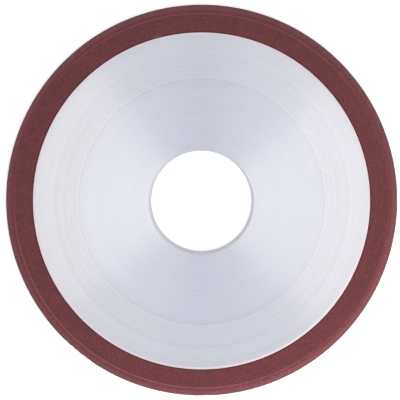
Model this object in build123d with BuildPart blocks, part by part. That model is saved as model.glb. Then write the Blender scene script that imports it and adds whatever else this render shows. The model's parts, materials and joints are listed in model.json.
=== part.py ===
from build123d import *

import os
from math import radians, tan

# A grinding wheel, tapered on one side, that lies on its flat back.
# An abrasive rim of red-brown resin bond is moulded round a turned aluminium core.
# Millimetres, +Z along the bore towards the tapered side.
# The origin is the centre of the bore, on the back face.

# Wheel
wheel_diameter = 125.0
hub_thickness = 10.0
bore_diameter = 32.0
bore_chamfer = 0.5

# Aluminium core
hub_diameter = 77.0
hub_edge_break = 0.1
shoulder_depth = 0.2
shoulder_width = 0.35

# Abrasive rim
rim_width = 9.25
rim_height = 6.0
face_width = 6.0
crown_width = 1.1
crown_drop = 0.5
edge_land = 1.5
crown_corner_radius = 0.6
edge_corner_radius = 0.2

# Dovetail ring that keys the rim to the core
key_depth = 1.6
key_mouth = 2.0
key_flank_angle = 15.0

# Radii and heights that follow
bore_radius = bore_diameter / 2
hub_radius = hub_diameter / 2
wheel_radius = wheel_diameter / 2
seat_radius = wheel_radius - rim_width
face_radius = seat_radius + face_width
crown_radius = face_radius + crown_width
crown_height = rim_height - crown_drop
shoulder_height = hub_thickness - shoulder_depth
key_middle = rim_height / 2
key_floor = key_mouth + 2 * key_depth * tan(radians(key_flank_angle))


def corner(sketch, radius, height):
    """The corner of a section's sketch that is nearest to a radius and height."""
    return sketch.vertices().sort_by_distance((radius, height, 0))[0]


# Section of the dovetail, which is a groove in the core and a tongue on the rim
with BuildSketch(Plane.XZ) as key_section:
    with BuildLine():
        Polyline(
            (seat_radius, key_middle - key_mouth / 2),
            (seat_radius, key_middle + key_mouth / 2),
            (seat_radius - key_depth, key_middle + key_floor / 2),
            (seat_radius - key_depth, key_middle - key_floor / 2),
            close=True,
        )
    make_face()

# Turned core: flat hub, a fine shoulder round it, and a web that falls away to the rim
with BuildPart() as aluminium_core:
    with BuildSketch(Plane.XZ) as core_section:
        with BuildLine():
            Polyline(
                (bore_radius, 0),
                (seat_radius, 0),
                (seat_radius, rim_height),
                (hub_radius + shoulder_width, shoulder_height),
                (hub_radius, shoulder_height),
                (hub_radius, hub_thickness),
                (bore_radius, hub_thickness),
                close=True,
            )
        make_face()
        chamfer(corner(core_section, bore_radius, 0), bore_chamfer)
        chamfer(corner(core_section, bore_radius, hub_thickness), bore_chamfer)
        chamfer(corner(core_section, hub_radius, hub_thickness), hub_edge_break)
    revolve(axis=Axis.Z)
    revolve(key_section.sketch, axis=Axis.Z, mode=Mode.SUBTRACT)

# Moulded rim: flat face beside the web, a gentle crown, a steep bevel and a short straight land
with BuildPart() as abrasive_rim:
    with BuildSketch(Plane.XZ) as rim_section:
        with BuildLine():
            Polyline(
                (seat_radius, 0),
                (wheel_radius, 0),
                (wheel_radius, edge_land),
                (crown_radius, crown_height),
                (face_radius, rim_height),
                (seat_radius, rim_height),
                close=True,
            )
        make_face()
        fillet(corner(rim_section, crown_radius, crown_height), crown_corner_radius)
        fillet(corner(rim_section, wheel_radius, edge_land), edge_corner_radius)
    revolve(axis=Axis.Z)
    revolve(key_section.sketch, axis=Axis.Z)

aluminium_core.part.label = "aluminium_core"
abrasive_rim.part.label = "abrasive_rim"

os.makedirs("parts", exist_ok=True)
export_step(aluminium_core.part, "parts/aluminium_core.step")
export_step(abrasive_rim.part, "parts/abrasive_rim.step")
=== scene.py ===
import json
import math

import bpy
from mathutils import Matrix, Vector


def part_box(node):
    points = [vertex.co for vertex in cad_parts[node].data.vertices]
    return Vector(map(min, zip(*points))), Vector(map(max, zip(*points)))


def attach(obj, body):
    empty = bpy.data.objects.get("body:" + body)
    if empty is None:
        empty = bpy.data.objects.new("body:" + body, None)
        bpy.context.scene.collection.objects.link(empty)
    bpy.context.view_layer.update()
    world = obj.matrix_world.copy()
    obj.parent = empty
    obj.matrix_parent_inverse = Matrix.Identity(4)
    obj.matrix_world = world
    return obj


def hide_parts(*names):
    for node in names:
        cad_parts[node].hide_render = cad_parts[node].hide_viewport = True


bl_info = {
    "name": "Tapered grinding wheel",
    "version": (1, 0, 0),
    "blender": (4, 5, 0),
    "location": "3D View > Sidebar > Wheel",
    "description": "Turns the aluminium core and moulds the abrasive rim of a tapered grinding wheel",
    "category": "Object",
}

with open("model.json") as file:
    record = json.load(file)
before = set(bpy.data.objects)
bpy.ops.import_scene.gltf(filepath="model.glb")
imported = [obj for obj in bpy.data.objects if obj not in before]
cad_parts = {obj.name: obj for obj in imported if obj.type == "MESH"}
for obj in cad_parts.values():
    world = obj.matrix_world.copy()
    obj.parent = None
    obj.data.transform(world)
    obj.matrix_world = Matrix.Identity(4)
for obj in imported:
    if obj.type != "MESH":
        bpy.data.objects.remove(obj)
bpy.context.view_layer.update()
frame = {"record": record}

MILLIMETRE = 0.001

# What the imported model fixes, in metres
CORE_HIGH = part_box("aluminium_core")[1]
RIM_LOW, RIM_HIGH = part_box("abrasive_rim")
SEAT_RADIUS = CORE_HIGH.x
WHEEL_RADIUS = -RIM_LOW.x
BORE = next(mount for mount in frame["record"]["mounts"] if mount["name"] == "bore")
BORE_RADIUS = BORE["dims"]["r_mm"] * MILLIMETRE
BORE_CHAMFER = (CORE_HIGH.z - BORE["dims"]["length_mm"] * MILLIMETRE) / 2

# Rings that the turning tool left: radii in millimetres, and half width
HUB_RINGS = (21.9, 32.3, 33.0)
WEB_RINGS = (39.6, 40.3, 41.5, 43.2, 44.1, 46.4)
RING_HALF_WIDTH = 0.25 * MILLIMETRE

# Worn places on the rim's outer edge: heading in degrees, depth and reach in millimetres
WORN_PLACES = (
    (-125.0, 0.10, 1.5), (-127.0, 0.16, 1.6), (-129.6, 0.18, 1.5), (-131.4, 0.20, 1.4), (-133.6, 0.10, 1.4),
    (-88.5, 0.09, 3.5), (0.8, 0.07, 3.0))

# Sides of the rim that are smeared, chipped, and rubbed pale with a painted highlight along the ridge:
# headings in degrees round from +X
SMEAR_HEADING = 105.1
RIDGE_HIGHLIGHT_HEADING = -118
NEXT_RIDGE_HIGHLIGHT_HEADING = 78
CHIPPED_HEADING = -110

# Mesh making: steps of each spin, distances for merging and choosing, bevel segments, sharp angles
CORE_STEPS = 360
RIM_STEPS = 720
MERGE_DISTANCE = 0.001 * MILLIMETRE
RING_TOLERANCE = 0.004 * MILLIMETRE
WEAR_GRIP = 0.4 * MILLIMETRE
BEVEL_SEGMENTS = 3
CORE_SHARP_ANGLE = math.radians(20)
RIM_SHARP_ANGLE = math.radians(25)

# Floor: width, drop below the wheel's back, and the glow that only the camera and reflections see
FLOOR_WIDTH = 6.0
FLOOR_DROP = 0.02 * MILLIMETRE
FLOOR_GLOW = 0.45


class WheelSizes(bpy.types.PropertyGroup):
    """Sizes of the turned core and the moulded rim"""

    hub_radius: bpy.props.FloatProperty(
        name="Hub radius", description="Outer radius of the flat hub",
        default=38.5 * MILLIMETRE, subtype="DISTANCE", unit="LENGTH")
    shoulder_depth: bpy.props.FloatProperty(
        name="Shoulder depth", description="Drop from the hub to the start of the web",
        default=0.2 * MILLIMETRE, subtype="DISTANCE", unit="LENGTH")
    shoulder_width: bpy.props.FloatProperty(
        name="Shoulder width", description="Flat turned ring outside the hub's edge",
        default=0.35 * MILLIMETRE, subtype="DISTANCE", unit="LENGTH")
    edge_break: bpy.props.FloatProperty(
        name="Edge break", description="Rounding of the core's turned edges",
        default=0.08 * MILLIMETRE, subtype="DISTANCE", unit="LENGTH")
    groove_depth: bpy.props.FloatProperty(
        name="Groove depth", description="Depth of the rings that the turning tool left",
        default=0.02 * MILLIMETRE, subtype="DISTANCE", unit="LENGTH")
    face_width: bpy.props.FloatProperty(
        name="Rim face width", description="Flat part of the rim beside the web",
        default=6.0 * MILLIMETRE, subtype="DISTANCE", unit="LENGTH")
    crown_width: bpy.props.FloatProperty(
        name="Crown width", description="Gently falling ring outside the rim's face",
        default=1.1 * MILLIMETRE, subtype="DISTANCE", unit="LENGTH")
    crown_drop: bpy.props.FloatProperty(
        name="Crown drop", description="Fall of the rim's surface across the crown",
        default=0.5 * MILLIMETRE, subtype="DISTANCE", unit="LENGTH")
    edge_land: bpy.props.FloatProperty(
        name="Edge land", description="Height of the straight outer edge",
        default=1.5 * MILLIMETRE, subtype="DISTANCE", unit="LENGTH")
    joint_break: bpy.props.FloatProperty(
        name="Joint break", description="Rounding of the resin's edge along the joint",
        default=0.12 * MILLIMETRE, subtype="DISTANCE", unit="LENGTH")
    ridge_break: bpy.props.FloatProperty(
        name="Ridge break", description="Rounding of the ridge between the face and the crown",
        default=0.1 * MILLIMETRE, subtype="DISTANCE", unit="LENGTH")
    crown_break: bpy.props.FloatProperty(
        name="Crown break", description="Rounding of the edge between the crown and the bevel",
        default=0.2 * MILLIMETRE, subtype="DISTANCE", unit="LENGTH")
    land_break: bpy.props.FloatProperty(
        name="Land break", description="Rounding of the edge between the bevel and the straight edge",
        default=0.06 * MILLIMETRE, subtype="DISTANCE", unit="LENGTH")
    foot_break: bpy.props.FloatProperty(
        name="Foot break", description="Rounding of the lowest outer edge",
        default=0.08 * MILLIMETRE, subtype="DISTANCE", unit="LENGTH")


class WheelColours(bpy.types.PropertyGroup):
    """Colours of the metal and the resin bond, as linear light"""

    hub: bpy.props.FloatVectorProperty(
        name="Hub", description="Reflection colour of the turned hub",
        default=(0.84, 0.85, 0.873), subtype="COLOR", min=0, max=1)
    # Painted light: the web is the same turned aluminium as the hub, and its paler colour stands in for the
    # extra light its slope catches
    web: bpy.props.FloatVectorProperty(
        name="Web", description="Reflection colour of the sloping web",
        default=(0.935, 0.932, 0.938), subtype="COLOR", min=0, max=1)
    # Partly painted highlight: the pale pinkish line along the web's edge stands in for light caught by the
    # edge, on top of rubbed metal
    burnish_and_highlight: bpy.props.FloatVectorProperty(
        name="Burnished edge", description="Pale edge of the web along the joint, tinted by resin dust",
        default=(1.0, 0.86, 0.87), subtype="COLOR", min=0, max=1)
    # Partly painted shade: the bore's darker grey stands in for the shade inside the bore, on top of a dull
    # reamed finish
    bore: bpy.props.FloatVectorProperty(
        name="Bore", description="Dull grey of the reamed bore and its chamfer",
        default=(0.74, 0.74, 0.75), subtype="COLOR", min=0, max=1)
    resin: bpy.props.FloatVectorProperty(
        name="Resin bond", description="Main colour of the abrasive rim",
        default=(0.180, 0.047, 0.054), subtype="COLOR", min=0, max=1)
    resin_dark: bpy.props.FloatVectorProperty(
        name="Dark grain", description="Darker, browner grain in the rim",
        default=(0.108, 0.038, 0.040), subtype="COLOR", min=0, max=1)
    # Partly painted highlight: this pale resin colours the worn chips, and the ridge, where it also stands
    # in for light caught along the edge
    resin_wear_and_highlight: bpy.props.FloatVectorProperty(
        name="Worn edge", description="Paler resin where an edge is rubbed",
        default=(0.30, 0.125, 0.13), subtype="COLOR", min=0, max=1)
    # Partly painted shade: this dark colour is the moulded skin at the joint, and painted shade low on the
    # outer edge by the floor
    resin_skin_and_foot_shade: bpy.props.FloatVectorProperty(
        name="Moulded skin", description="Dull dark skin at the joint and round the outer edge",
        default=(0.052, 0.022, 0.030), subtype="COLOR", min=0, max=1)
    smear: bpy.props.FloatVectorProperty(
        name="Metal smear", description="Grey metal rubbed onto the rim beside the joint",
        default=(0.125, 0.09, 0.09), subtype="COLOR", min=0, max=1)
    floor: bpy.props.FloatVectorProperty(
        name="Floor", description="Colour of the plain floor",
        default=(0.93, 0.93, 0.93), subtype="COLOR", min=0, max=1)


class WheelStudio(bpy.types.PropertyGroup):
    """Camera, lamps and soft surround round the wheel"""

    camera_height: bpy.props.FloatProperty(
        name="Camera height", description="Height of the camera above the floor",
        default=0.42, subtype="DISTANCE", unit="LENGTH")
    camera_lean: bpy.props.FloatVectorProperty(
        name="Camera lean", description="How far the camera stands off the wheel's axis",
        default=(0.0029, 0.0145), size=2, subtype="XYZ", unit="LENGTH")
    camera_aim: bpy.props.FloatVectorProperty(
        name="Camera aim", description="Point on the floor at the middle of the picture",
        default=(-0.00048, 0.00031), size=2, subtype="XYZ", unit="LENGTH")
    lens: bpy.props.FloatProperty(
        name="Lens", description="Focal length in millimetres",
        default=118.0, min=1)
    key_place: bpy.props.FloatVectorProperty(
        name="Key place", description="Place of the soft lamp close above one side",
        default=(0.062, -0.079, 0.15), subtype="XYZ", unit="LENGTH")
    key_width: bpy.props.FloatProperty(
        name="Key width", description="Width of the square key lamp",
        default=0.12, subtype="DISTANCE", unit="LENGTH")
    key_power: bpy.props.FloatProperty(
        name="Key power", description="Power of the key lamp",
        default=0.20, unit="POWER")
    key_colour: bpy.props.FloatVectorProperty(
        name="Key colour", description="Slightly warm colour of the key lamp",
        default=(1.0, 0.97, 0.94), subtype="COLOR", min=0, max=1)
    fill_place: bpy.props.FloatVectorProperty(
        name="Fill place", description="Place of the larger lamp on the other side",
        default=(-0.32, 0.41, 0.30), subtype="XYZ", unit="LENGTH")
    fill_width: bpy.props.FloatProperty(
        name="Fill width", description="Width of the square fill lamp",
        default=0.30, subtype="DISTANCE", unit="LENGTH")
    fill_power: bpy.props.FloatProperty(
        name="Fill power", description="Power of the fill lamp",
        default=0.30, unit="POWER")
    fill_colour: bpy.props.FloatVectorProperty(
        name="Fill colour", description="White of the fill lamp",
        default=(1.0, 1.0, 1.0), subtype="COLOR", min=0, max=1)
    dim_light: bpy.props.FloatVectorProperty(
        name="Dim light", description="Light of the surround's two dim quarters",
        default=(0.748, 0.774, 0.874), subtype="COLOR", min=0)
    bright_light: bpy.props.FloatVectorProperty(
        name="Bright light", description="Light of the surround's two bright quarters",
        default=(1.10, 1.088, 1.14), subtype="COLOR", min=0)
    bright_heading: bpy.props.FloatProperty(
        name="Bright heading", description="Heading of the bright quarters, round from +X",
        default=math.radians(-4), subtype="ANGLE", unit="ROTATION")
    light_lean: bpy.props.FloatVectorProperty(
        name="Light lean", description="How much brighter the surround grows towards +X, +Y and +Z",
        default=(0.10, -0.04, 0.0))


def select_only(obj):
    """Leaves one object selected and active."""
    bpy.ops.object.select_all(action="DESELECT")
    obj.select_set(True)
    bpy.context.view_layer.objects.active = obj


def start_section(name, point):
    """A new piece that is one vertex at a (radius, height) point, in edit mode."""
    bpy.ops.object.select_all(action="DESELECT")
    bpy.ops.mesh.primitive_plane_add(size=MILLIMETRE, location=(0, 0, 0))
    piece = bpy.context.object
    piece.name = name
    piece.data.name = name
    bpy.ops.object.mode_set(mode="EDIT")
    bpy.ops.mesh.select_mode(type="VERT")
    bpy.ops.mesh.select_all(action="SELECT")
    bpy.ops.mesh.merge(type="CENTER")
    bpy.ops.transform.translate(value=(point[0], 0, point[1]))
    return piece


def trace_section(points):
    """Extrudes the selected vertex along the rest of a closed section."""
    for (radius, height), (next_radius, next_height) in zip(points, points[1:] + points[:1]):
        step = (next_radius - radius, 0, next_height - height)
        bpy.ops.mesh.extrude_region_move(TRANSFORM_OT_translate={"value": step})


def spin_section(steps):
    """Turns the traced section round the wheel's axis into a closed solid."""
    bpy.ops.mesh.select_all(action="SELECT")
    bpy.ops.mesh.remove_doubles(threshold=MERGE_DISTANCE)
    bpy.ops.mesh.spin(steps=steps, angle=2 * math.pi, center=(0, 0, 0), axis=(0, 0, 1))
    bpy.ops.mesh.select_all(action="SELECT")
    bpy.ops.mesh.remove_doubles(threshold=MERGE_DISTANCE)
    bpy.ops.mesh.normals_make_consistent(inside=False)
    bpy.ops.mesh.select_all(action="DESELECT")
    bpy.ops.object.mode_set(mode="OBJECT")


def clear_selection(piece, element):
    """Leaves nothing of the piece's mesh selected, ready to choose vertices or edges by their place."""
    select_only(piece)
    bpy.ops.object.mode_set(mode="EDIT")
    bpy.ops.mesh.select_mode(type=element)
    bpy.ops.mesh.select_all(action="DESELECT")
    bpy.ops.object.mode_set(mode="OBJECT")


def round_ring(piece, radius, height, size):
    """Bevels the ring edge that lies at a radius and height of the piece."""
    clear_selection(piece, "EDGE")
    points = piece.data.vertices
    for edge in piece.data.edges:
        ends = [points[index].co for index in edge.vertices]
        on_radius = all(abs(math.hypot(end.x, end.y) - radius) < RING_TOLERANCE for end in ends)
        edge.select = on_radius and all(abs(end.z - height) < RING_TOLERANCE for end in ends)
    bpy.ops.object.mode_set(mode="EDIT")
    bpy.ops.mesh.bevel(offset=size, segments=BEVEL_SEGMENTS, affect="EDGES")
    bpy.ops.object.mode_set(mode="OBJECT")


def wear_edge(piece, radius, heading, depth, reach):
    """Pushes the outer edge in at one heading, fading out within a reach."""
    angle = math.radians(heading)
    spot = Vector((math.cos(angle), math.sin(angle), 0)) * radius
    clear_selection(piece, "VERT")
    for point in piece.data.vertices:
        flat = Vector((point.co.x, point.co.y, 0))
        point.select = (flat - spot).length < WEAR_GRIP
    bpy.ops.object.mode_set(mode="EDIT")
    bpy.ops.transform.translate(
        value=-depth * spot.normalized(), use_proportional_edit=True,
        proportional_edit_falloff="SMOOTH", proportional_size=reach)
    bpy.ops.object.mode_set(mode="OBJECT")


def smooth(piece, angle):
    """Smooth shading that keeps edges sharper than an angle."""
    select_only(piece)
    bpy.ops.object.shade_smooth_by_angle(angle=angle)


def dress(piece, node, material):
    """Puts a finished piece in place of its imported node."""
    piece.data.materials.clear()
    piece.data.materials.append(material)
    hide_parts(node)
    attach(piece, "root")


class Nodes:
    """Short words for laying out the node tree of a material or a world."""

    def __init__(self, owner):
        owner.use_nodes = True
        self.tree = owner.node_tree
        self.tree.nodes.clear()

    def add(self, kind, **settings):
        node = self.tree.nodes.new(kind)
        for key, value in settings.items():
            setattr(node, key, value)
        return node

    def join(self, source, target):
        self.tree.links.new(source, target)

    def give(self, socket, given):
        """Joins a socket to another one, or sets a number, a vector or a colour on it."""
        if isinstance(given, bpy.types.NodeSocket):
            self.join(given, socket)
        elif socket.type == "RGBA":
            socket.default_value = (*given, 1)
        else:
            socket.default_value = given

    def value(self, operation, first, second=None, clamp=False):
        """One Math node. Its inputs are sockets or numbers."""
        node = self.add("ShaderNodeMath", operation=operation, use_clamp=clamp)
        self.give(node.inputs[0], first)
        if second is not None:
            self.give(node.inputs[1], second)
        return node.outputs[0]

    def product(self, first, *others):
        """All the values multiplied together."""
        for other in others:
            first = self.value("MULTIPLY", first, other)
        return first

    def total(self, first, *others):
        """All the values added up."""
        for other in others:
            first = self.value("ADD", first, other)
        return first

    def weighted(self, *pairs):
        """The sum of some values, each multiplied by its weight."""
        return self.total(*(self.value("MULTIPLY", source, weight) for source, weight in pairs))

    def vector(self, operation, first, second=None):
        """One Vector Math node. Its inputs are sockets or triples."""
        node = self.add("ShaderNodeVectorMath", operation=operation)
        self.give(node.inputs[0], first)
        if second is not None:
            self.give(node.inputs[1], second)
        return node.outputs["Value"] if operation in ("LENGTH", "DOT_PRODUCT") else node.outputs["Vector"]

    def scaled(self, source, factor):
        """A colour or a position multiplied by one number."""
        node = self.add("ShaderNodeVectorMath", operation="SCALE")
        self.give(node.inputs[0], source)
        self.give(node.inputs["Scale"], factor)
        return node.outputs["Vector"]

    def remap(self, source, low, high, start, end):
        """Goes smoothly from one value to another while the source goes from low to high."""
        node = self.add("ShaderNodeMapRange", interpolation_type="SMOOTHSTEP")
        names = ("Value", "From Min", "From Max", "To Min", "To Max")
        for name, given in zip(names, (source, low, high, start, end)):
            self.give(node.inputs[name], given)
        return node.outputs["Result"]

    def rise(self, source, low, high, top=1.0):
        """0 up to low, and top from high."""
        return self.remap(source, low, high, 0.0, top)

    def fall(self, source, low, high, top=1.0):
        """Top up to low, and 0 from high."""
        return self.remap(source, low, high, top, 0.0)

    def noise(self, where, scale, detail, roughness=0.55):
        """One Noise texture that reads a position."""
        node = self.add("ShaderNodeTexNoise")
        self.join(where, node.inputs["Vector"])
        node.inputs["Scale"].default_value = scale
        node.inputs["Detail"].default_value = detail
        node.inputs["Roughness"].default_value = roughness
        return node.outputs["Fac"]

    def blend(self, share, first, second):
        """Mixes two colours, given as sockets or colour triples, by a share."""
        node = self.add("ShaderNodeMix", data_type="RGBA")
        for socket, given in zip((node.inputs[0], node.inputs[6], node.inputs[7]), (share, first, second)):
            self.give(socket, given)
        return node.outputs[2]

    def polar(self):
        """Position, radius and outward direction from the wheel's axis."""
        place = self.add("ShaderNodeTexCoord").outputs["Object"]
        flat = self.vector("MULTIPLY", place, (1.0, 1.0, 0.0))
        return place, self.vector("LENGTH", flat), self.vector("NORMALIZE", flat)

    def ring(self, radius, centre, half_width):
        """1 on a ring at one radius, falling to 0 at its half width."""
        away = self.value("ABSOLUTE", self.value("SUBTRACT", radius, centre))
        return self.fall(away, 0.0, half_width)

    def sector(self, outward, heading, low, high):
        """1 on the side of the wheel that faces a heading in degrees, falling to 0 round from it."""
        angle = math.radians(heading)
        facing = self.vector("DOT_PRODUCT", outward, (math.cos(angle), math.sin(angle), 0.0))
        return self.rise(facing, low, high)

    def turned(self, radius, outward, along, across, detail=2.0):
        """Noise with its own pace along the radius and across it, round the wheel."""
        lift = self.add("ShaderNodeCombineXYZ")
        self.give(lift.inputs["Z"], self.value("MULTIPLY", radius, along))
        where = self.vector("ADD", self.scaled(outward, across), lift.outputs[0])
        return self.noise(where, 1.0, detail)

    def bump(self, height, distance, strength, below=None):
        """One Bump node, on top of another where one is given."""
        node = self.add("ShaderNodeBump")
        node.inputs["Strength"].default_value = strength
        node.inputs["Distance"].default_value = distance
        self.join(height, node.inputs["Height"])
        if below is not None:
            self.join(below, node.inputs["Normal"])
        return node.outputs["Normal"]

    def principled(self, settings):
        """The Principled shader on the output. Plain numbers go on its own sockets."""
        shader = self.add("ShaderNodeBsdfPrincipled")
        for name, given in settings.items():
            self.give(shader.inputs[name], given)
        self.output(shader)

    def output(self, shader, kind="ShaderNodeOutputMaterial"):
        """The output of a material or a world."""
        self.join(shader.outputs[0], self.add(kind).inputs["Surface"])


def turned_aluminium(sizes, colours):
    """Fine turned aluminium: its marks run round the axis and stretch the reflections outwards."""
    material = bpy.data.materials.new("turned_aluminium")
    nodes = Nodes(material)
    place, radius, outward = nodes.polar()
    fine = nodes.turned(radius, outward, along=4200.0, across=0.7)
    coarse = nodes.turned(radius, outward, along=1100.0, across=0.9, detail=3.0)
    grain = nodes.noise(place, scale=2300.0, detail=2.0, roughness=0.7)
    cloud = nodes.noise(place, scale=45.0, detail=2.0)
    # Painted light: the web is drawn paler than the hub for the light its slope catches
    painted_web_light = nodes.rise(radius, sizes.hub_radius, sizes.hub_radius + sizes.shoulder_width)
    colour = nodes.blend(painted_web_light, colours.hub, colours.web)
    tone = nodes.weighted((coarse, 0.22), (fine, 0.20), (grain, 0.58))
    tone = nodes.remap(tone, 0.30, 0.70, start=0.94, end=1.05)

    # Painted shade: the shoulder is drawn a little darker, as if it catches a little less light
    shoulder = nodes.ring(radius, sizes.hub_radius + 0.1 * MILLIMETRE, half_width=0.35 * MILLIMETRE)
    tone = nodes.value("SUBTRACT", tone, nodes.value("MULTIPLY", shoulder, 0.06))
    colour = nodes.scaled(colour, tone)

    # The edge along the joint is drawn pale and pinkish: a painted highlight along the edge, partly rubbed
    # metal dusted with resin; and the bore is duller
    edge = nodes.rise(radius, SEAT_RADIUS - 0.80 * MILLIMETRE, SEAT_RADIUS - 0.55 * MILLIMETRE)
    colour = nodes.blend(edge, colour, colours.burnish_and_highlight)
    # Painted shade, partly a dull reamed finish: the bore and its chamfer are drawn in a darker grey
    bore_edge = BORE_RADIUS + BORE_CHAMFER
    in_bore = nodes.fall(radius, bore_edge - 0.15 * MILLIMETRE, bore_edge)
    colour = nodes.blend(in_bore, colour, colours.bore)
    dull = nodes.weighted((in_bore, 0.65), (edge, 0.35))
    roughness = nodes.weighted((coarse, 0.06), (cloud, 0.04), (in_bore, 0.25), (edge, 0.10))

    marks = nodes.bump(fine, distance=0.004 * MILLIMETRE, strength=0.6)
    marks = nodes.bump(coarse, distance=0.005 * MILLIMETRE, strength=0.6, below=marks)
    nodes.principled({
        "Base Color": colour,
        "Metallic": nodes.value("SUBTRACT", 1.0, dull),
        "Roughness": nodes.value("ADD", roughness, 0.24),
        "Anisotropic": 1.0,
        "Tangent": outward,
        "Normal": marks,
    })
    return material


def ground_finish_and_painted_light(nodes, radius, outward, face_radius, crown_radius):
    """How pale the crown and the bevel are drawn: partly a paler ground finish, partly painted light where
    they slope outwards, with short grinding marks kept down the bevel's slope.
    """
    crown = nodes.rise(radius, face_radius - 0.1 * MILLIMETRE, face_radius + 0.1 * MILLIMETRE, top=0.22)
    bevel = nodes.rise(radius, crown_radius - 0.2 * MILLIMETRE, crown_radius + 0.2 * MILLIMETRE)
    marks = nodes.turned(radius, outward, along=300.0, across=110.0)
    marks = nodes.remap(marks, 0.3, 0.7, start=0.12, end=0.46)
    return nodes.total(crown, nodes.product(bevel, marks), 1.0)


def ridge_wear_and_highlight(nodes, radius, outward, face_radius):
    """Where the ridge is drawn pale: a little all round as rubbed wear, and most on one side, where the
    paleness is a painted highlight along the edge.
    """
    ridge = nodes.ring(radius, face_radius - 0.05 * MILLIMETRE, half_width=0.30 * MILLIMETRE)
    most = nodes.sector(outward, RIDGE_HIGHLIGHT_HEADING, 0.25, 0.95)
    next_most = nodes.value("MULTIPLY", nodes.sector(outward, NEXT_RIDGE_HIGHLIGHT_HEADING, 0.35, 0.95), 0.5)
    rubbed = nodes.value("ADD", nodes.value("MAXIMUM", most, next_most), 0.06)
    return nodes.product(ridge, rubbed, 0.62)


def chipped_crown(nodes, place, radius, outward, crown_radius):
    """Where the crown's edge has lost small chips, on one side."""
    chips = nodes.rise(nodes.noise(place, scale=1900.0, detail=1.0), 0.60, 0.70)
    band = nodes.ring(radius, crown_radius - 0.2 * MILLIMETRE, half_width=1.4 * MILLIMETRE)
    return nodes.product(chips, band, nodes.sector(outward, CHIPPED_HEADING, 0.1, 0.95), 0.7)


def metal_smear(nodes, place, radius, outward, mottle):
    """Where grey metal is smeared onto the rim, at one place beside the joint."""
    heading = math.radians(SMEAR_HEADING)
    across = nodes.vector("DOT_PRODUCT", place, (-math.sin(heading), math.cos(heading), 0.0))
    across = nodes.fall(nodes.value("ABSOLUTE", across), 0.8 * MILLIMETRE, 2.0 * MILLIMETRE)
    facing = nodes.sector(outward, SMEAR_HEADING, 0.0, 0.5)
    beside_joint = nodes.ring(radius, SEAT_RADIUS + 0.45 * MILLIMETRE, half_width=0.5 * MILLIMETRE)
    return nodes.product(across, facing, beside_joint, nodes.remap(mottle, 0.3, 0.6, start=0.6, end=1.0))


def resin_bond(sizes, colours):
    """Red-brown resin with fine abrasive grain, a ground crown and bevel drawn paler as partly painted
    light, a rubbed ridge drawn pale as partly a painted highlight, dark moulded skin at the joint, and
    painted shade low on the outer edge.
    """
    material = bpy.data.materials.new("resin_bond")
    nodes = Nodes(material)
    place, radius, outward = nodes.polar()
    height = nodes.vector("DOT_PRODUCT", place, (0.0, 0.0, 1.0))
    face_radius = SEAT_RADIUS + sizes.face_width
    crown_radius = face_radius + sizes.crown_width
    grain = nodes.noise(place, scale=2600.0, detail=2.0, roughness=0.8)
    mottle = nodes.noise(place, scale=1100.0, detail=2.0, roughness=0.6)
    cloud = nodes.noise(place, scale=260.0, detail=2.0)
    rings = nodes.turned(radius, outward, along=2200.0, across=1.2)
    shade = nodes.weighted((grain, 0.62), (mottle, 0.18), (rings, 0.12), (cloud, 0.08))
    colour = nodes.blend(nodes.fall(shade, 0.42, 0.58), colours.resin, colours.resin_dark)
    # Painted light, partly a paler ground finish: the crown and the bevel are drawn paler than the face
    colour = nodes.scaled(colour, ground_finish_and_painted_light(nodes, radius, outward, face_radius, crown_radius))
    # Painted highlight, partly rubbed wear: the ridge is drawn pale, most on one side
    colour = nodes.blend(ridge_wear_and_highlight(nodes, radius, outward, face_radius), colour, colours.resin_wear_and_highlight)
    chips = chipped_crown(nodes, place, radius, outward, crown_radius)
    colour = nodes.blend(chips, colour, colours.resin_wear_and_highlight)

    # The skin left by the mould is dull and dark beside the joint. Low on the outer edge, by the floor, the
    # same dark colour is painted shade
    joint = nodes.fall(radius, SEAT_RADIUS + 0.25 * MILLIMETRE, SEAT_RADIUS + 0.62 * MILLIMETRE, top=0.7)
    colour = nodes.blend(joint, colour, colours.resin_skin_and_foot_shade)
    painted_foot_shade = nodes.fall(height, sizes.edge_land, sizes.edge_land + 0.6 * MILLIMETRE, top=0.7)
    colour = nodes.blend(painted_foot_shade, colour, colours.resin_skin_and_foot_shade)
    colour = nodes.blend(metal_smear(nodes, place, radius, outward, mottle), colour, colours.smear)

    relief = nodes.bump(rings, distance=0.010 * MILLIMETRE, strength=0.5)
    relief = nodes.bump(grain, distance=0.035 * MILLIMETRE, strength=0.7, below=relief)
    nodes.principled({
        "Base Color": colour,
        "Roughness": nodes.remap(grain, 0.3, 0.7, start=0.66, end=0.80),
        "Specular IOR Level": 0.12,
        "Normal": relief,
    })
    return material


def web_height(sizes, radius):
    """Height of the web's slope at a radius."""
    start = sizes.hub_radius + sizes.shoulder_width
    top = CORE_HIGH.z - sizes.shoulder_depth
    share = (radius - start) / (SEAT_RADIUS - start)
    return top + share * (RIM_HIGH.z - top)


def ring_points(radii, height_at, depth):
    """Section points of shallow V grooves at some radii, from the outermost inwards."""
    points = []
    for radius in sorted(radii, reverse=True):
        centre = radius * MILLIMETRE
        outer, inner = centre + RING_HALF_WIDTH, centre - RING_HALF_WIDTH
        points += [(outer, height_at(outer)), (centre, height_at(centre) - depth), (inner, height_at(inner))]
    return points


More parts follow.
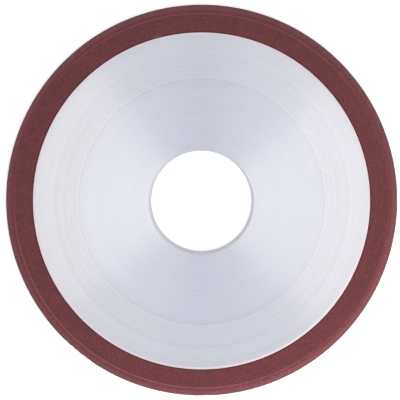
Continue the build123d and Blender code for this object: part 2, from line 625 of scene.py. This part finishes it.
class WHEEL_OT_turn_core(bpy.types.Operator):
    """Turn the aluminium core: bore, flat hub, shoulder, grooved web and seat"""

    bl_idname = "wheel.turn_core"
    bl_label = "Turn Core"

    def execute(self, context):
        sizes = context.scene.wheel_sizes
        top = CORE_HIGH.z
        step = top - sizes.shoulder_depth
        section = [
            (BORE_RADIUS + BORE_CHAMFER, 0),
            (SEAT_RADIUS, 0),
            (SEAT_RADIUS, RIM_HIGH.z),
            *ring_points(WEB_RINGS, lambda radius: web_height(sizes, radius), sizes.groove_depth),
            (sizes.hub_radius + sizes.shoulder_width, step),
            (sizes.hub_radius, step),
            (sizes.hub_radius, top),
            *ring_points(HUB_RINGS, lambda radius: top, sizes.groove_depth),
            (BORE_RADIUS + BORE_CHAMFER, top),
            (BORE_RADIUS, top - BORE_CHAMFER),
            (BORE_RADIUS, BORE_CHAMFER),
        ]
        piece = start_section("turned_core", section[0])
        trace_section(section)
        spin_section(CORE_STEPS)
        round_ring(piece, sizes.hub_radius, top, sizes.edge_break)
        round_ring(piece, BORE_RADIUS + BORE_CHAMFER, top, sizes.edge_break)
        round_ring(piece, BORE_RADIUS, top - BORE_CHAMFER, sizes.edge_break)
        smooth(piece, CORE_SHARP_ANGLE)
        finish = turned_aluminium(sizes, context.scene.wheel_colours)
        dress(piece, "aluminium_core", finish)
        return {"FINISHED"}


class WHEEL_OT_mould_rim(bpy.types.Operator):
    """Mould the abrasive rim: flat face, crown, steep bevel and straight edge"""

    bl_idname = "wheel.mould_rim"
    bl_label = "Mould Rim"

    def execute(self, context):
        sizes = context.scene.wheel_sizes
        top = RIM_HIGH.z
        face = SEAT_RADIUS + sizes.face_width
        crown = (face + sizes.crown_width, top - sizes.crown_drop)
        section = [
            (SEAT_RADIUS, 0),
            (WHEEL_RADIUS, 0),
            (WHEEL_RADIUS, sizes.edge_land),
            crown,
            (face, top),
            (SEAT_RADIUS, top),
        ]
        piece = start_section("moulded_rim", section[0])
        trace_section(section)
        spin_section(RIM_STEPS)
        round_ring(piece, SEAT_RADIUS, top, sizes.joint_break)
        round_ring(piece, face, top, sizes.ridge_break)
        round_ring(piece, *crown, sizes.crown_break)
        round_ring(piece, WHEEL_RADIUS, sizes.edge_land, sizes.land_break)
        round_ring(piece, WHEEL_RADIUS, 0, sizes.foot_break)
        for heading, depth, reach in WORN_PLACES:
            wear_edge(piece, WHEEL_RADIUS, heading, depth * MILLIMETRE, reach * MILLIMETRE)
        smooth(piece, RIM_SHARP_ANGLE)
        finish = resin_bond(sizes, context.scene.wheel_colours)
        dress(piece, "abrasive_rim", finish)
        return {"FINISHED"}


def soft_box(name, place, width, power, colour):
    """A square area lamp that faces the wheel and shows in no reflection."""
    bpy.ops.object.light_add(type="AREA", location=place)
    lamp = bpy.context.object
    lamp.name = name
    lamp.data.size = width
    lamp.data.energy = power
    lamp.data.color = colour
    lamp.rotation_euler = (-Vector(place)).to_track_quat("-Z", "Y").to_euler()
    lamp.visible_glossy = False
    lamp.visible_camera = False


def seen_directly(nodes):
    """1 for the camera and in reflections and glass, and 0 for light on the object."""
    path = nodes.add("ShaderNodeLightPath")
    seen = nodes.value("ADD", path.outputs["Is Camera Ray"], path.outputs["Is Glossy Ray"], clamp=True)
    return nodes.value("ADD", seen, path.outputs["Is Transmission Ray"], clamp=True)


def bright_share(nodes, front, side, low):
    """1 in the bright quarters and 0 in the dim ones, with a faint ledge of light on two corners."""
    overhead = 0.004
    spread = nodes.value("ADD", low, 2 * overhead)
    share = nodes.value("DIVIDE", nodes.total(nodes.product(front, front), overhead), spread)
    corner = nodes.value("DIVIDE", nodes.product(front, side), spread)
    step = nodes.total(nodes.rise(share, 0.44, 0.55, top=0.66), nodes.rise(share, 0.0, 1.0, top=0.34))
    ledge = nodes.product(
        nodes.rise(share, 0.0, 0.12, top=0.16), nodes.fall(share, 0.40, 0.60), nodes.rise(corner, 0.0, 0.2))
    return nodes.total(step, ledge)


def lamp_gap(nodes, direction, side, low):
    """Light that is missing in a narrow gap, which runs out from overhead to one side."""
    away = nodes.value("ABSOLUTE", nodes.vector("DOT_PRODUCT", direction, (1.0, 0.0, 0.0)))
    fade = nodes.remap(low, 0.05, 0.25, start=1.0, end=0.3)
    return nodes.product(nodes.fall(away, 0.0, 0.12, top=0.20), nodes.rise(side, 0.0, 0.1), fade)


def surround(studio):
    """A soft surround: a bright quarter on each side, dim quarters between, and dimmer lower down."""
    world = bpy.data.worlds.new("studio")
    bpy.context.scene.world = world
    nodes = Nodes(world)
    direction = nodes.add("ShaderNodeTexCoord").outputs["Generated"]
    cosine, sine = math.cos(studio.bright_heading), math.sin(studio.bright_heading)
    front = nodes.vector("DOT_PRODUCT", direction, (cosine, sine, 0.0))
    side = nodes.vector("DOT_PRODUCT", direction, (-sine, cosine, 0.0))
    low = nodes.total(nodes.product(front, front), nodes.product(side, side))
    colour = nodes.blend(bright_share(nodes, front, side, low), studio.dim_light, studio.bright_light)
    even = (Vector(studio.dim_light) + Vector(studio.bright_light)) / 2
    colour = nodes.blend(nodes.rise(low, 0.0, 0.9, top=0.8), colour, even)
    lean = nodes.vector("DOT_PRODUCT", direction, studio.light_lean)
    strength = nodes.value("SUBTRACT", nodes.total(lean, 1.0), lamp_gap(nodes, direction, side, low))
    strength = nodes.product(strength, nodes.remap(low, 0.42, 0.66, start=1.0, end=0.25))

    # Near the floor the surround is a white backdrop, for the camera and in reflections alike
    backdrop = nodes.product(seen_directly(nodes), nodes.rise(low, 0.80, 0.93))
    light = nodes.add("ShaderNodeBackground")
    nodes.give(light.inputs["Color"], nodes.blend(backdrop, colour, (1.0, 1.0, 1.0)))
    nodes.give(light.inputs["Strength"], nodes.value("MAXIMUM", strength, backdrop))
    nodes.output(light, "ShaderNodeOutputWorld")


def floor_finish(colour):
    """A matt floor that looks white to the camera and in reflections, and keeps the shadow."""
    material = bpy.data.materials.new("floor")
    nodes = Nodes(material)
    matt = nodes.add("ShaderNodeBsdfDiffuse")
    nodes.give(matt.inputs["Color"], colour)
    glow = nodes.add("ShaderNodeEmission")
    nodes.give(glow.inputs["Strength"], nodes.value("MULTIPLY", seen_directly(nodes), FLOOR_GLOW))
    both = nodes.add("ShaderNodeAddShader")
    nodes.join(matt.outputs[0], both.inputs[0])
    nodes.join(glow.outputs[0], both.inputs[1])
    nodes.output(both)
    return material


class WHEEL_OT_set_stage(bpy.types.Operator):
    """Set the plain floor, the soft lamps, the surround and the camera"""

    bl_idname = "wheel.set_stage"
    bl_label = "Set Stage"

    def execute(self, context):
        studio = context.scene.wheel_studio
        bpy.ops.object.select_all(action="DESELECT")
        bpy.ops.mesh.primitive_plane_add(size=FLOOR_WIDTH, location=(0, 0, -FLOOR_DROP))
        ground = context.object
        ground.name = "floor"
        ground.data.materials.append(floor_finish(context.scene.wheel_colours.floor))
        surround(studio)
        soft_box("key_lamp", studio.key_place, studio.key_width, studio.key_power, studio.key_colour)
        soft_box("fill_lamp", studio.fill_place, studio.fill_width, studio.fill_power, studio.fill_colour)
        bpy.ops.object.camera_add(location=(*studio.camera_lean, studio.camera_height))
        camera = context.object
        camera.name = "camera"
        camera.data.lens = studio.lens
        aim = (Vector((*studio.camera_aim, 0)) - camera.location).normalized()
        camera.rotation_euler = (math.asin(aim.y), math.atan2(-aim.x, -aim.z), 0)
        context.scene.camera = camera
        context.scene.view_settings.view_transform = "Standard"
        return {"FINISHED"}


class WHEEL_PT_pieces(bpy.types.Panel):
    """Sizes, colours and steps of the grinding wheel"""

    bl_idname = "WHEEL_PT_pieces"
    bl_label = "Grinding Wheel"
    bl_space_type = "VIEW_3D"
    bl_region_type = "UI"
    bl_category = "Wheel"

    def draw(self, context):
        layout = self.layout
        for group in (context.scene.wheel_sizes, context.scene.wheel_colours, context.scene.wheel_studio):
            box = layout.box()
            for name in group.__annotations__:
                box.prop(group, name)
        for step in STEPS:
            layout.operator(step.bl_idname)


GROUPS = {"wheel_sizes": WheelSizes, "wheel_colours": WheelColours, "wheel_studio": WheelStudio}
STEPS = (WHEEL_OT_turn_core, WHEEL_OT_mould_rim, WHEEL_OT_set_stage)


def register():
    for name, group in GROUPS.items():
        bpy.utils.register_class(group)
        setattr(bpy.types.Scene, name, bpy.props.PointerProperty(type=group))
    for step in STEPS:
        bpy.utils.register_class(step)
    bpy.utils.register_class(WHEEL_PT_pieces)


def unregister():
    bpy.utils.unregister_class(WHEEL_PT_pieces)
    for step in reversed(STEPS):
        bpy.utils.unregister_class(step)
    for name, group in reversed(GROUPS.items()):
        delattr(bpy.types.Scene, name)
        bpy.utils.unregister_class(group)


def main():
    register()
    bpy.ops.wheel.turn_core()
    bpy.ops.wheel.mould_rim()
    bpy.ops.wheel.set_stage()


if __name__ == "__main__":
    main()
